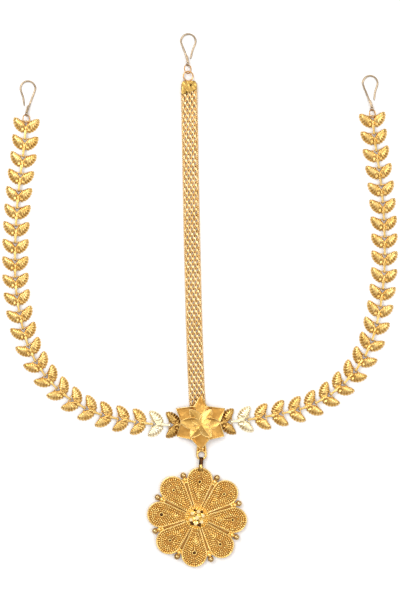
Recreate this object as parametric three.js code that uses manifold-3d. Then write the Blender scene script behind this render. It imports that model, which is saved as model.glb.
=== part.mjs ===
// A forehead chain laid out flat. Two side chains of leaf-pair links and a woven strap meet at a star
// motif, and a filigree flower pendant hangs from the motif. Each free end carries a wire hook.
// Millimetres, +Z up, the floor at z = 0. The origin is on the floor under the middle of the motif,
// and +Y runs along the strap towards the crown of the head.

import * as THREE from "three";
import { mergeVertices } from "three/addons/utils/BufferGeometryUtils.js";
import Module from "manifold-3d";

const wasm = await Module();
wasm.setup();

// Side chains: equal steps from the motif outwards, with the heading given at a few links
const LINK_PITCH = 7.46;
const LINKS_PER_SIDE = 24;
const LUG_X = 6.05;
const LEFT_LAY = {
  side: "left",
  lugX: -LUG_X,
  lugY: -1.3,
  headings: [
    { link: 0, degrees: 180 },
    { link: 4, degrees: 166 },
    { link: 11, degrees: 106.5 },
    { link: 15, degrees: 90.5 },
    { link: 21, degrees: 82 },
    { link: 23, degrees: 86 },
  ],
};
const RIGHT_LAY = {
  side: "right",
  lugX: LUG_X,
  lugY: -0.6,
  headings: [
    { link: 0, degrees: 5.7 },
    { link: 4, degrees: 13 },
    { link: 11, degrees: 75 },
    { link: 15, degrees: 88.7 },
    { link: 21, degrees: 99 },
    { link: 23, degrees: 95 },
  ],
};

// Leaf-pair link
const BAR_HEIGHT = 1.05;
const BAR_RADIUS = 0.2;
const BAR_HALF_LENGTH = 1.75;
const LEAF_ARC = { x: 0.25, y: 0.35, radius: 5.55, from: -93, step: 21 };
const LEAF_ROOT_RADIUS = 5.15;
const LEAF_TIP = { side: 5.2, along: 1.35, high: 0.5 };
const LEAF_INNER = [
  { side: 0, along: -2.1 },
  { side: 0.75, along: -0.95 },
  { side: 1.5, along: 0.05 },
  { side: 2.6, along: 0.5 },
  { side: 3.7, along: 1.1 },
];
const LEAF_RIDGE = 1.6;
const LEAF_EDGE = 0;
const ROOT_EDGE = 1.3;
const LEAF_SHEET = 0.4;
const SCALLOP = 0.16;
const TAB_WIDTH = 1.1;
const TAB_ROOT = 4.3;
const TAB_SHEET = 0.28;
const TAB_CURL_RADIUS = 0.46;

// Rings and hooks
const RING_RADIUS = 1.77;
const RING_WIRE = 0.25;
const RING_TILT = 42;
const RING_OFFSET = 0.95;
const TOP_RING_RADIUS = 1.88;
const TOP_RING_X = -5.5;
const TOP_RING_Y = 151.7;
const TOP_HOOK_TURN = -4;
const HOOK_WIRE = 0.34;
const HOOK_BOW_RADIUS = 3.15;
const HOOK_BOW_SIDE = 0.45;
const HOOK_BOW_UP = 11.35;
const TOP_HOOK_BOW_UP = 10.1;
const HOOK_END_DROP = 7.55;
const EYE_RADIUS = 0.72;
const EYE_WIRE = 0.24;
const EYE_LIFT = 0.12;

// Strap and its end cap
const STRAP_WIDTH = 6.9;
const STRAP_THICK = 0.9;
const STRAP_START = [-1.2, 6.2];
const STRAP_BEND = [-3.1, 32];
const STRAP_END = [-4.9, 145.4];
const STRAP_STATIONS = 24;
const STRAP_LIFT = 0.6;
const CAP_WIDTH = 6.5;
const CAP_SHEET = 0.35;
const CAP_LOW = 142.8;
const CAP_HIGH = 147.1;
const CAP_LOOP_RADIUS = 2.05;
const CAP_LOOP_Y = 148.7;
const LOOP_WIRE = 0.3;

// Star motif
const STAR_HALF = [
  { x: 0, y: 11.6, tip: 1 },
  { x: -2.8, y: 6.8, tip: 0 },
  { x: -10.4, y: 5.8, tip: 1 },
  { x: -8.3, y: 0.1, tip: 0 },
  { x: -10.1, y: -6.0, tip: 1 },
  { x: -3.7, y: -7.4, tip: 0 },
  { x: 0.2, y: -11.8, tip: 1 },
];
const STAR_SHEET = 0.45;
const STAR_TIP_UNDER = 1.25;
const STAR_NOTCH_UNDER = 2.1;
const STAR_PEAK = 3.1;
const BACKING_HIGH = 2.3;
const BACKING_RADIUS = 4.9;
const FLOWER_HALF = [
  { x: 0, y: 2.6, z: 3.3 },
  { x: -5.0, y: 5.0, z: 3.5 },
  { x: -4.4, y: 1.9, z: 3.3 },
  { x: -8.4, y: 0, z: 3.4 },
  { x: -4.4, y: -2.2, z: 3.3 },
  { x: -4.2, y: -6.0, z: 3.5 },
  { x: 0, y: -4.0, z: 3.3 },
];
const FLOWER_SHEET = 0.5;
const FLOWER_PEAK = 4.5;
const FLOWER_HOLLOW = 2.4;
const MOTIF_LOOP = { x: 0.4, y: -14.2, z: 1.1, radius: 1.95 };

// Pendant
const PENDANT_X = -1.5;
const PENDANT_Y = -40.9;
const PENDANT_TURN = -4.3;
const PETALS = 8;
const PETAL_ROUND_AT = 16.0;
const PETAL_ROUND = 5.45;
const PETAL_ROOT_AT = 4.2;
const PETAL_ROOT_HALF = 1.6;
const PETAL_RIM = 0.85;
const PLATE_THICK = 0.8;
const RIM_HIGH = 1.7;
const FIELD_HIGH = 1.5;
const GRANULE_AT = 19.0;
const GRANULE_RADIUS = 1.25;
const BOSS_RADIUS = 5.4;
const BAIL_AT = 24.82;
const BAIL_END_AT = 21.0;
const BAIL_OUTER = 1.05;
const BAIL_INNER = 0.62;
const BAIL_WIDTH = 1.7;

// Colours
const GOLD = { color: 0xe0b04c, roughness: 0.28, metalness: 1 };
const STRAP_GOLD = { color: 0xe8c583, roughness: 0.36, metalness: 1 };
const WIRE_GOLD = { color: 0xd8b877, roughness: 0.3, metalness: 1 };

// Edges shorter than this are closed up after a join
const SLIVER = 0.006;

const radians = THREE.MathUtils.degToRad;
const vec = (x, y, z) => new THREE.Vector3(x, y, z);

// Closed bodies

function closed(geometry) {
  const bare = geometry.clone();
  for (const name of Object.keys(bare.attributes)) {
    if (name !== "position") bare.deleteAttribute(name);
  }
  return mergeVertices(bare, 1e-4);
}

function solid(geometry) {
  const body = closed(geometry);
  const mesh = new wasm.Mesh({
    numProp: 3,
    vertProperties: new Float32Array(body.attributes.position.array),
    triVerts: new Uint32Array(body.index.array),
  });
  return new wasm.Manifold(mesh);
}

function geometryOf(body) {
  const mesh = body.getMesh();
  const geometry = new THREE.BufferGeometry();
  geometry.setAttribute("position", new THREE.Float32BufferAttribute(mesh.vertProperties, 3));
  geometry.setIndex(Array.from(mesh.triVerts));
  geometry.computeVertexNormals();
  return geometry;
}

function fuse(geometries) {
  const whole = geometries.map(solid).reduce((sum, piece) => sum.add(piece));
  return geometryOf(whole.simplify(SLIVER));
}

// A body through a row of sections with equal counts, each end closed by a fan

function loft(sections) {
  const count = sections[0].length;
  const points = sections.flat();
  const faces = [];
  for (let s = 0; s + 1 < sections.length; s++) {
    for (let k = 0; k < count; k++) {
      const a = s * count + k;
      const b = s * count + ((k + 1) % count);
      faces.push(a, b, b + count, a, b + count, a + count);
    }
  }
  const last = (sections.length - 1) * count;
  for (let k = 1; k + 1 < count; k++) {
    faces.push(0, k + 1, k);
    faces.push(last, last + k, last + k + 1);
  }
  return bodyOf(points, faces);
}

// A body from points and faces, turned so that it faces out

function bodyOf(points, faces) {
  let volume = 0;
  for (let f = 0; f < faces.length; f += 3) {
    const [a, b, c] = [points[faces[f]], points[faces[f + 1]], points[faces[f + 2]]];
    volume += a.dot(b.clone().cross(c));
  }
  const order = volume > 0 ? faces : faces.slice().reverse();
  const geometry = new THREE.BufferGeometry().setFromPoints(points);
  geometry.setIndex(order);
  const merged = closed(geometry);
  const kept = [];
  for (let f = 0; f < merged.index.count; f += 3) {
    const [a, b, c] = [merged.index.getX(f), merged.index.getX(f + 1), merged.index.getX(f + 2)];
    if (a !== b && b !== c && c !== a) kept.push(a, b, c);
  }
  merged.setIndex(kept);
  return merged;
}

function wire(points, radius, sides, steps) {
  const section = new THREE.Shape();
  for (let k = 0; k < sides; k++) {
    const angle = (2 * Math.PI * k) / sides;
    const [x, y] = [radius * Math.cos(angle), radius * Math.sin(angle)];
    if (k === 0) section.moveTo(x, y);
    else section.lineTo(x, y);
  }
  section.closePath();
  const path = points.length === 2
    ? new THREE.LineCurve3(points[0], points[1])
    : new THREE.CatmullRomCurve3(points, false, "centripetal");
  return new THREE.ExtrudeGeometry(section, { steps, extrudePath: path, bevelEnabled: false });
}

// A shape drawn in the upright plane along Y, given a width across X

function upright(shape, width) {
  const geometry = new THREE.ExtrudeGeometry(shape, { depth: width, bevelEnabled: false });
  geometry.translate(0, 0, -width / 2);
  geometry.rotateY(Math.PI / 2);
  geometry.rotateX(Math.PI / 2);
  return geometry;
}

function polygon(corners) {
  return new THREE.Shape(corners.map(([x, y]) => new THREE.Vector2(x, y)));
}

// Leaf-pair link, its bar at the origin and its tab pointing along -Y to the next bar

function leafSection(k, side) {
  const inner = LEAF_INNER[k];
  const angle = radians(LEAF_ARC.from + k * LEAF_ARC.step);
  const radius = k === 0 ? LEAF_ROOT_RADIUS : LEAF_ARC.radius - (k % 2) * SCALLOP;
  const outerX = k === 0 ? 0 : LEAF_ARC.x + radius * Math.cos(angle);
  const outerY = LEAF_ARC.y + radius * Math.sin(angle);
  const [middleX, middleY] = [(inner.side + outerX) / 2, (inner.along + outerY) / 2];
  return [
    vec(side * inner.side, inner.along, BAR_HEIGHT),
    vec(side * middleX, middleY, LEAF_RIDGE),
    vec(side * outerX, outerY, k === 0 ? ROOT_EDGE : LEAF_EDGE),
    vec(side * middleX, middleY, LEAF_RIDGE - LEAF_SHEET),
  ];
}

function leafPair() {
  const count = LEAF_INNER.length;
  const tip = (side) => Array(4).fill(vec(side * LEAF_TIP.side, LEAF_TIP.along, LEAF_TIP.high));
  const sections = [tip(1)];
  for (let k = count - 1; k > 0; k--) sections.push(leafSection(k, 1));
  for (let k = 0; k < count; k++) sections.push(leafSection(k, -1));
  sections.push(tip(-1));
  return loft(sections);
}

function tab() {
  const outline = [];
  const far = -LINK_PITCH;
  const outer = TAB_CURL_RADIUS + TAB_SHEET;
  outline.push([-TAB_ROOT, BAR_HEIGHT + outer - 0.2]);
  const turns = 5;
  for (let k = 0; k <= turns; k++) {
    const angle = radians(90 + (290 * k) / turns);
    outline.push([far + outer * Math.cos(angle), BAR_HEIGHT + outer * Math.sin(angle)]);
  }
  for (let k = turns; k >= 0; k--) {
    const angle = radians(90 + (290 * k) / turns);
    const radius = TAB_CURL_RADIUS;
    outline.push([far + radius * Math.cos(angle), BAR_HEIGHT + radius * Math.sin(angle)]);
  }
  outline.push([-TAB_ROOT, BAR_HEIGHT + TAB_CURL_RADIUS - 0.2]);
  return upright(polygon(outline), TAB_WIDTH);
}

function bar() {
  const ends = [vec(-BAR_HALF_LENGTH, 0, BAR_HEIGHT), vec(BAR_HALF_LENGTH, 0, BAR_HEIGHT)];
  return wire(ends, BAR_RADIUS, 5, 1);
}

const LINK = fuse([leafPair(), tab(), bar()]);

// Steps of a chain: the place of each bar and the way back from it to the bar before

function headingAt(rows, link) {
  const next = rows.findIndex((row) => row.link >= link);
  const high = rows[Math.max(next, 1)];
  const low = rows[Math.max(next, 1) - 1];
  const share = (link - low.link) / (high.link - low.link);
  return low.degrees + share * (high.degrees - low.degrees);
}

function walk(lay) {
  const steps = [];
  let [x, y] = [lay.lugX, lay.lugY];
  for (let link = 0; link < LINKS_PER_SIDE; link++) {
    const heading = radians(headingAt(lay.headings, link));
    x += LINK_PITCH * Math.cos(heading);
    y += LINK_PITCH * Math.sin(heading);
    steps.push({ x, y, heading });
  }
  return steps;
}

// Rings, turned about the line along which they hang

function ring(radius, thick, tilt) {
  const geometry = new THREE.TorusGeometry(radius, thick, 5, 12);
  geometry.rotateY(radians(tilt));
  return geometry;
}

// Hook with its eye at the origin, the eye held at a height above the floor

function hook(eyeHeight, shankSide, tilt, bowUp) {
  const points = [vec(0.1, 0.72, eyeHeight - 0.05)];
  points.push(vec(1.3, 4.6, HOOK_WIRE + 0.25));
  for (let degrees = -12; degrees <= 192; degrees += 34) {
    const angle = radians(degrees);
    const x = HOOK_BOW_SIDE + HOOK_BOW_RADIUS * Math.cos(angle);
    const y = bowUp + HOOK_BOW_RADIUS * Math.sin(angle);
    points.push(vec(x, y, HOOK_WIRE));
  }
  points.push(vec(-1.6, bowUp - 3.85, HOOK_WIRE));
  points.push(vec(-1.05, bowUp - HOOK_END_DROP, HOOK_WIRE));
  const doubled = [vec(-0.3, 0.7, eyeHeight - 0.05), vec(0.55, 3.9, HOOK_WIRE + 0.45)];
  const eye = ring(EYE_RADIUS, EYE_WIRE, tilt - 90);
  eye.translate(0, 0, eyeHeight);
  const body = fuse([wire(points, HOOK_WIRE, 6, 22), wire(doubled, 0.28, 5, 1), eye]);
  if (shankSide > 0) return body;
  const mirrored = body.clone().scale(-1, 1, 1);
  const order = Array.from(mirrored.index.array).reverse();
  mirrored.setIndex(order);
  mirrored.computeVertexNormals();
  return mirrored;
}

// Strap: a band along a bent line, raised at its top end to enter the cap

function strapLine(t) {
  const [a, b, c] = [(1 - t) * (1 - t), 2 * t * (1 - t), t * t];
  const x = a * STRAP_START[0] + b * STRAP_BEND[0] + c * STRAP_END[0];
  const y = a * STRAP_START[1] + b * STRAP_BEND[1] + c * STRAP_END[1];
  return new THREE.Vector2(x, y);
}

function strap() {
  const sections = [];
  for (let k = 0; k <= STRAP_STATIONS; k++) {
    const t = k / STRAP_STATIONS;
    const middle = strapLine(t);
    const along = strapLine(t + 0.01).sub(strapLine(t - 0.01)).normalize();
    const across = new THREE.Vector2(along.y, -along.x).multiplyScalar(STRAP_WIDTH / 2);
    const low = STRAP_LIFT * THREE.MathUtils.smoothstep(middle.y, CAP_LOW - 12, CAP_LOW - 1);
    const high = low + STRAP_THICK;
    sections.push([
      vec(middle.x - across.x, middle.y - across.y, low),
      vec(middle.x + across.x, middle.y + across.y, low),
      vec(middle.x + across.x, middle.y + across.y, high),
      vec(middle.x - across.x, middle.y - across.y, high),
    ]);
  }
  return loft(sections);
}

// End cap: a sheet folded over the strap's end, with a soldered loop

function endCap() {
  const height = 2 * STRAP_LIFT + STRAP_THICK;
  const fold = CAP_HIGH - 0.9;
  const outline = [
    [CAP_LOW, 0],
    [fold, 0],
    [CAP_HIGH, 0.5],
    [CAP_HIGH, height - 0.5],
    [fold, height],
    [CAP_LOW, height],
    [CAP_LOW, height - CAP_SHEET],
    [fold - 0.2, height - CAP_SHEET],
    [fold - 0.2, CAP_SHEET],
    [CAP_LOW, CAP_SHEET],
  ];
  const sheet = upright(polygon(outline), CAP_WIDTH);
  sheet.translate(STRAP_END[0], 0, 0);
  const loop = ring(CAP_LOOP_RADIUS, LOOP_WIRE, 0);
  loop.translate(STRAP_END[0] - 0.4, CAP_LOOP_Y, height / 2);
  return fuse([sheet, loop]);
}

// Star motif: a six-point sheet, a flower of six cupped petals on it, a backing and the loops

function wholeOutline(half) {
  const mirrored = half.slice(1, -1).reverse().map((row) => ({ ...row, x: -row.x }));
  return [...half, ...mirrored];
}

// A low roof from an outline up to a peak, hollowed from below to a second peak

function roof(outline, peak, hollow) {
  const points = [peak, hollow];
  const faces = [];
  const count = outline.length;
  for (const corner of outline) {
    points.push(vec(corner.x, corner.y, corner.top));
    points.push(vec(corner.x, corner.y, corner.under));
  }
  for (let k = 0; k < count; k++) {
    const a = 2 + 2 * k;
    const b = 2 + 2 * ((k + 1) % count);
    faces.push(0, a, b, 1, b + 1, a + 1, a, a + 1, b + 1, a, b + 1, b);
  }
  return bodyOf(points, faces);
}

function star() {
  const outline = wholeOutline(STAR_HALF).map((corner) => {
    const under = corner.tip ? STAR_TIP_UNDER : STAR_NOTCH_UNDER;
    return { ...corner, under, top: under + STAR_SHEET };
  });
  return roof(outline, vec(0, 0, STAR_PEAK), vec(0, 0, BACKING_HIGH));
}

function flower() {
  const outline = wholeOutline(FLOWER_HALF).map((corner) => {
    return { ...corner, under: corner.z - FLOWER_SHEET, top: corner.z };
  });
  return roof(outline, vec(0.5, -1.0, FLOWER_PEAK), vec(0, 0, FLOWER_HOLLOW));
}

function lug(lay) {
  const inner = lay.lugX * 0.72;
  const half = 1.15;
  const ends = [-half, half].map((y) => vec(lay.lugX, lay.lugY + y, BAR_HEIGHT));
  const pieces = [wire(ends, 0.22, 6, 1)];
  for (const side of [-1, 1]) {
    const y = lay.lugY + side * half;
    pieces.push(wire([vec(lay.lugX * 1.035, y, BAR_HEIGHT), vec(inner, y, BAR_HEIGHT)], 0.26, 6, 1));
  }
  return pieces;
}

function motif() {
  const backing = new THREE.CylinderGeometry(BACKING_RADIUS, BACKING_RADIUS, BACKING_HIGH, 14);
  backing.rotateX(Math.PI / 2);
  backing.translate(0, 0, BACKING_HIGH / 2);
  const loop = ring(MOTIF_LOOP.radius, LOOP_WIRE, 0);
  loop.translate(MOTIF_LOOP.x, MOTIF_LOOP.y, MOTIF_LOOP.z);
  const arms = [-1, 1].map((side) => {
    const low = vec(MOTIF_LOOP.x + side * MOTIF_LOOP.radius * 0.95, MOTIF_LOOP.y + 0.4, MOTIF_LOOP.z);
    const high = vec(MOTIF_LOOP.x + side * 1.5, -9.3, 1.6);
    return wire([low, high], LOOP_WIRE, 6, 1);
  });
  return fuse([backing, star(), flower(), loop, ...arms, ...lug(LEFT_LAY), ...lug(RIGHT_LAY)]);
}

// Pendant: eight petals with raised rims on one plate, granules between them, a cut boss and a bail

function petalOutline(inset) {
  const radius = PETAL_ROUND - inset;
  const rootAt = PETAL_ROOT_AT + inset;
  const rootHalf = Math.max(PETAL_ROOT_HALF - inset * 0.6, 0.5);
  const corners = [[-rootHalf, rootAt], [rootHalf, rootAt]];
  for (let k = 0; k <= 8; k++) {
    const angle = radians(-18 + (216 * k) / 8);
    corners.push([radius * Math.cos(angle), PETAL_ROUND_AT + radius * Math.sin(angle)]);
  }
  return corners;
}

function petal() {
  const outer = petalOutline(0);
  const inner = petalOutline(PETAL_RIM);
  const eye = vec(0, PETAL_ROUND_AT, FIELD_HIGH);
  const points = [eye, vec(0, PETAL_ROUND_AT * 0.7, 0)];
  const faces = [];
  const count = outer.length;
  for (let k = 0; k < count; k++) {
    points.push(vec(inner[k][0], inner[k][1], PLATE_THICK));
    points.push(vec(inner[k][0], inner[k][1], RIM_HIGH));
    points.push(vec(outer[k][0], outer[k][1], RIM_HIGH - 0.2));
    points.push(vec(outer[k][0], outer[k][1], 0));
  }
  for (let k = 0; k < count; k++) {
    const a = 2 + 4 * k;
    const b = 2 + 4 * ((k + 1) % count);
    faces.push(0, a, b);
    for (let row = 0; row < 3; row++) {
      faces.push(a + row, a + row + 1, b + row + 1, a + row, b + row + 1, b + row);
    }
    faces.push(1, b + 3, a + 3);
  }
  return bodyOf(points, faces);
}

function boss() {
  const profile = [
    [0, 0.1],
    [BOSS_RADIUS, 0.1],
    [BOSS_RADIUS, 1.6],
    [BOSS_RADIUS * 0.78, 2.5],
    [BOSS_RADIUS * 0.7, 3.1],
    [BOSS_RADIUS * 0.42, 3.9],
    [0, 4.2],
  ];
  const geometry = new THREE.LatheGeometry(profile.map(([r, z]) => new THREE.Vector2(r, z)), 14);
  geometry.rotateX(Math.PI / 2);
  return geometry;
}

function bail() {
  const shape = new THREE.Shape();
  shape.absarc(BAIL_AT, BAIL_OUTER, BAIL_OUTER, -Math.PI / 2, Math.PI / 2, false);
  shape.absarc(BAIL_END_AT, BAIL_OUTER, BAIL_OUTER, Math.PI / 2, (3 * Math.PI) / 2, false);
  const hole = new THREE.Path();
  hole.absarc(BAIL_AT, BAIL_OUTER, BAIL_INNER, -Math.PI / 2, Math.PI / 2, false);
  hole.absarc(BAIL_END_AT, BAIL_OUTER, BAIL_INNER, Math.PI / 2, (3 * Math.PI) / 2, false);
  shape.holes.push(hole);
  const options = { depth: BAIL_WIDTH, bevelEnabled: false, curveSegments: 6 };
  const geometry = new THREE.ExtrudeGeometry(shape, options);
  geometry.translate(0, 0, -BAIL_WIDTH / 2);
  geometry.rotateY(Math.PI / 2);
  geometry.rotateX(Math.PI / 2);
  return geometry;
}

function pendant() {
  const pieces = [boss(), bail()];
  const plate = new THREE.CylinderGeometry(PETAL_ROUND_AT, PETAL_ROUND_AT, PLATE_THICK - 0.1, 24);
  plate.rotateX(Math.PI / 2);
  plate.translate(0, 0, (PLATE_THICK - 0.1) / 2);
  pieces.push(plate);
  const one = petal();
  for (let k = 0; k < PETALS; k++) {
    const turn = (2 * Math.PI * k) / PETALS;
    pieces.push(one.clone().rotateZ(turn));
    const ball = new THREE.SphereGeometry(GRANULE_RADIUS, 10, 5);
    ball.translate(0, GRANULE_AT, GRANULE_RADIUS);
    const stem = new THREE.BoxGeometry(1.3, 4.5, 1.0);
    stem.translate(0, GRANULE_AT - 2.6, 0.5);
    pieces.push(ball.rotateZ(turn + Math.PI / PETALS), stem.rotateZ(turn + Math.PI / PETALS));
  }
  return fuse(pieces);
}

// Assembly

const group = new THREE.Group();
group.name = "forehead_chain";

function add(name, geometry, look) {
  const mesh = new THREE.Mesh(geometry, new THREE.MeshStandardMaterial(look));
  mesh.name = name;
  group.add(mesh);
  return mesh;
}

function addChain(lay, shankSide, hookHeading) {
  const steps = walk(lay);
  steps.forEach((step, index) => {
    const number = String(LINKS_PER_SIDE - index).padStart(2, "0");
    const link = add(`link_${lay.side}_${number}`, LINK.clone(), GOLD);
    link.position.set(step.x, step.y, 0);
    link.rotation.z = step.heading - Math.PI / 2;
  });
  const end = steps[LINKS_PER_SIDE - 1];
  const height = RING_RADIUS * Math.sin(radians(RING_TILT)) + RING_WIRE;
  const reach = (distance) => {
    const [x, y] = [end.x + distance * Math.cos(end.heading), end.y + distance * Math.sin(end.heading)];
    return [x, y];
  };
  const jump = add(`ring_${lay.side}`, closed(ring(RING_RADIUS, RING_WIRE, RING_TILT)), GOLD);
  jump.position.set(...reach(RING_OFFSET), height);
  jump.rotation.z = end.heading - Math.PI / 2;
  const bent = hook(height, shankSide, RING_TILT * shankSide, HOOK_BOW_UP);
  const wireHook = add(`hook_${lay.side}`, bent, WIRE_GOLD);
  wireHook.position.set(...reach(RING_OFFSET + RING_RADIUS + EYE_LIFT), 0);
  wireHook.rotation.z = radians(hookHeading - 90);
}

addChain(LEFT_LAY, 1, 90);
addChain(RIGHT_LAY, -1, 91);

const topHeight = TOP_RING_RADIUS * Math.sin(radians(RING_TILT)) + RING_WIRE;
const topRing = add("ring_top", closed(ring(TOP_RING_RADIUS, RING_WIRE, RING_TILT)), GOLD);
topRing.position.set(TOP_RING_X, TOP_RING_Y, topHeight);
const topHook = add("hook_top", hook(topHeight, -1, -RING_TILT, TOP_HOOK_BOW_UP), WIRE_GOLD);
topHook.position.set(TOP_RING_X, TOP_RING_Y + TOP_RING_RADIUS + EYE_LIFT, 0);
topHook.rotation.z = radians(TOP_HOOK_TURN);

add("strap_end_cap", endCap(), GOLD);
add("strap_mesh", strap(), STRAP_GOLD);
add("motif", motif(), GOLD);
const flowerPendant = add("pendant", pendant(), GOLD);
flowerPendant.position.set(PENDANT_X, PENDANT_Y, 0);
flowerPendant.rotation.z = radians(PENDANT_TURN);

export default group;
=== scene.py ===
import math
import bmesh
import bpy
import numpy as np
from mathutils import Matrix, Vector


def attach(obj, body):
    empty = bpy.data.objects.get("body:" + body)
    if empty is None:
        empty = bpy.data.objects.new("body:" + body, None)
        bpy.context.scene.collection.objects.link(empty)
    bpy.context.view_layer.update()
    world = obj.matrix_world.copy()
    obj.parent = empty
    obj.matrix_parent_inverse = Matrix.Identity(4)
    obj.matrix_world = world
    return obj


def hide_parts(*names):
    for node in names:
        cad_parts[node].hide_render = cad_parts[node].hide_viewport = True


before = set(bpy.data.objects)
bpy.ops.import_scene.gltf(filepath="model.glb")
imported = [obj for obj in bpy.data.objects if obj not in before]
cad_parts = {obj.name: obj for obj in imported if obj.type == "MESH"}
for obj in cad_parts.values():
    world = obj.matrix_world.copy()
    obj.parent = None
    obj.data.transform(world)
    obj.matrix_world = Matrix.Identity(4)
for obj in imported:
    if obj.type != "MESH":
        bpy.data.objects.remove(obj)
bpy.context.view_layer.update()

# Forehead chain: the visible surfaces, in millimetres until a mesh is made.

MM = 0.001

# Side chains
LINK_PITCH = 7.46
LINKS_PER_SIDE = 24
HEADING_LINKS = (0, 4, 11, 15, 21, 23)
LAYS = {
    "left": {"lug": (-6.05, -1.3), "headings": (180, 166, 106.5, 90.5, 82, 86)},
    "right": {"lug": (6.05, -0.6), "headings": (5.7, 13, 75, 88.7, 99, 95)},
}

# Leaf-pair link
BAR_HEIGHT = 1.05
BAR_RADIUS = 0.2
BAR_HALF = 1.75
LEAF_ARC = (0.25, 0.35, 5.55)
LEAF_ARC_DEGREES = range(-76, 3, 13)
LEAF_ROOT_BACK = 4.8
LEAF_TIP_ROUND = ((5.72, 0.85), (5.4, 1.28), (4.9, 1.42))
LEAF_INNER = ((0, -2.1), (0.75, -0.95), (1.5, 0.05), (2.6, 0.5), (3.7, 1.1), (4.8, 1.4))
LEAF_SHEET = 0.25
LEAF_LOWEST = 0.08
LEAF_COLUMNS = 17
FLUTES = 8
FLUTE_ROWS = 10
FLUTE_DEPTH = 0.38
SCALLOP = 0.34
ROOT_PIT = 0.75
ROOT_PIT_AT = (0.17, 0.5)
ROOT_PIT_WIDE = (0.1, 0.25)
TAB_WIDTH = 0.85
TAB_FLARE = 0.45
TAB_SHEET = 0.28
TAB_ROOT = 3.9
TAB_DROP = 0.25
TAB_CURL = 0.46
TAB_CURL_DEGREES = (90, 380)

# Heights along a leaf: places from its root to its tip, and the heights there
LEAF_INNER_HIGH = ((0, 0.6, 1), (1.15, 1.15, 0.6))
LEAF_OUTER_HIGH = ((0, 0.16, 0.85, 1), (1.3, 0.25, 0.25, 0.45))
LEAF_DOME = ((0, 0.2, 0.75, 1), (0.38, 0.95, 0.85, 0.12))

# Rings and hooks
RING_RADIUS = 1.77
RING_WIRE = 0.25
RING_TILT = 42
RING_OFFSET = 0.95
TOP_RING_RADIUS = 1.88
TOP_RING_AT = (-5.5, 151.7)
TOP_HOOK_TURN = -4
HOOK_WIRE = 0.36
HOOK_FOOT = (0.1, 0.72)
HOOK_KNEE = (1.3, 4.6)
HOOK_KNEE_LIFT = 0.25
HOOK_BOW_SIDE = 0.45
HOOK_BOW_RADIUS = 3.15
HOOK_BOW_DEGREES = range(-12, 193, 34)
HOOK_BOW_UP = 11.35
TOP_HOOK_BOW_UP = 10.1
HOOK_TAIL = ((-1.6, 3.85), (-1.05, 7.55))
HOOK_TIP_TAPER = (0.97, 0.88, 0.7, 0.42)
HOOK_STRAND = ((-0.3, 0.7), (0.1, 2.2), (0.55, 3.9))
HOOK_STRAND_WIRE = 0.28
HOOK_STRAND_LIFT = 0.45
HOOK_EYE_DIP = 0.05
EYE_RADIUS = 0.72
EYE_WIRE = 0.24
EYE_LIFT = 0.12

# Strap and cap
STRAP_WIDTH = 6.9
STRAP_THICK = 0.9
STRAP_LINE = ((-1.2, 6.2), (-3.1, 32.0), (-4.9, 145.4))
STRAP_LIFT = 0.6
STRAP_RAMP_BEFORE_CAP = 12
STRAP_RAMP_LENGTH = 11
ROW_PITCH = 1.76
STITCH_PITCH = 2.0
STITCH_REACH = 1.45
STITCH_WIRE = 0.34
STITCH_RISE = 0.25
STITCH_OVERLAP = 0.2
BACK_STRAND_WIRE = 0.26
UNDER_HIGH = 0.19
EDGE_BAND = 0.55
EDGE_OUT = 0.28
EDGE_TWIST = 0.17
EDGE_WIRE = 0.19
CAP_WIDTH = 6.5
CAP_SHEET = 0.3
CAP_FOLD = 1.0
CAP_BULGE = 0.98
CAP_SHOULDER = 2.4
CAP_DENT = 0.1
CAP_TAPER = 0.24
CAP_LAP = 2.2
CAP_PITS = ((-4.2, 144.8, 0.42), (-6.0, 141.9, 0.4), (-2.9, 146.4, 0.3))
CAP_LOW = 142.8
CAP_HIGH = 147.1
CAP_PIT_SINK = 0.2
CAP_LOOP_RADIUS = 2.05
CAP_LOOP_SHIFT = 0.4
CAP_LOOP_Y = 148.7
LOOP_WIRE = 0.3

# Motif
STAR_TIPS = ((0.1, 11.6), (-10.4, 5.8), (-10.1, -6.0), (0.2, -11.8), (10.1, -6.0), (10.4, 5.8))
STAR_NOTCHES = ((-2.8, 6.8), (-8.3, 0.1), (-3.7, -7.4), (3.7, -7.4), (8.3, 0.1), (2.8, 6.8))
STAR_SHEET = 0.45
STAR_KNEE = 0.56
STAR_HIGH = 2.95
STAR_FALL = (0.35, 0.8)
STAR_EDGE_RISE = 0.28
STAR_SUNK = 0.22
STAR_RIM_WIRE = 0.19
STAR_RIM_FROM_ROW = 12
FLOWER_MIDDLE = (0.5, -1.0)
FLOWER_TIPS = (
    (-8.6, 0.1, 2.5),
    (8.4, 0.1, 2.5),
    (-4.6, 5.6, 2.3),
    (4.6, 5.6, 2.3),
    (-4.3, -6.4, 2.3),
    (4.3, -6.4, 2.3),
)
FLOWER_SHEET = 0.35
CUP_HIGH = 4.1
CUP_FALL = 0.35
CUP_EDGE_RISE = 0.85
CUP_SUNK = 0.75
RIDGE_HIGH = 4.45
RIDGE_FALL = 0.75
RIDGE_SLOPE = 0.95
RIDGE_LIP = 0.15
FLOWER_RIM_WIRE = 0.2
FLOWER_RIM_FROM_ROW = 5
PETAL_ROWS = 33
PETAL_COLUMNS = 25
BACKING_RADIUS = 4.9
BACKING_HIGH = 2.3
STAPLE_WIRE = 0.22
STAPLE_HALF = 1.15
STAPLE_INNER_SHARE = 0.72
MOTIF_LOOP = (0.4, -14.2, 1.1, 1.95)
MOTIF_LOOP_WIRE = 0.5
MOTIF_LOOP_INSET = 0.12
LOOP_WEB = ((-1.6, -12.5), (1.6, -12.5), (1.75, -10.4), (-1.75, -10.4))
LOOP_WEB_HEIGHTS = (0.8, 1.3)
LOOP_ARM = ((1.75, -11.5, 1.3), (1.5, -9.3, 1.6))
LOOP_ARM_WIRE = 0.38
DENT = 0.013
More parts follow.
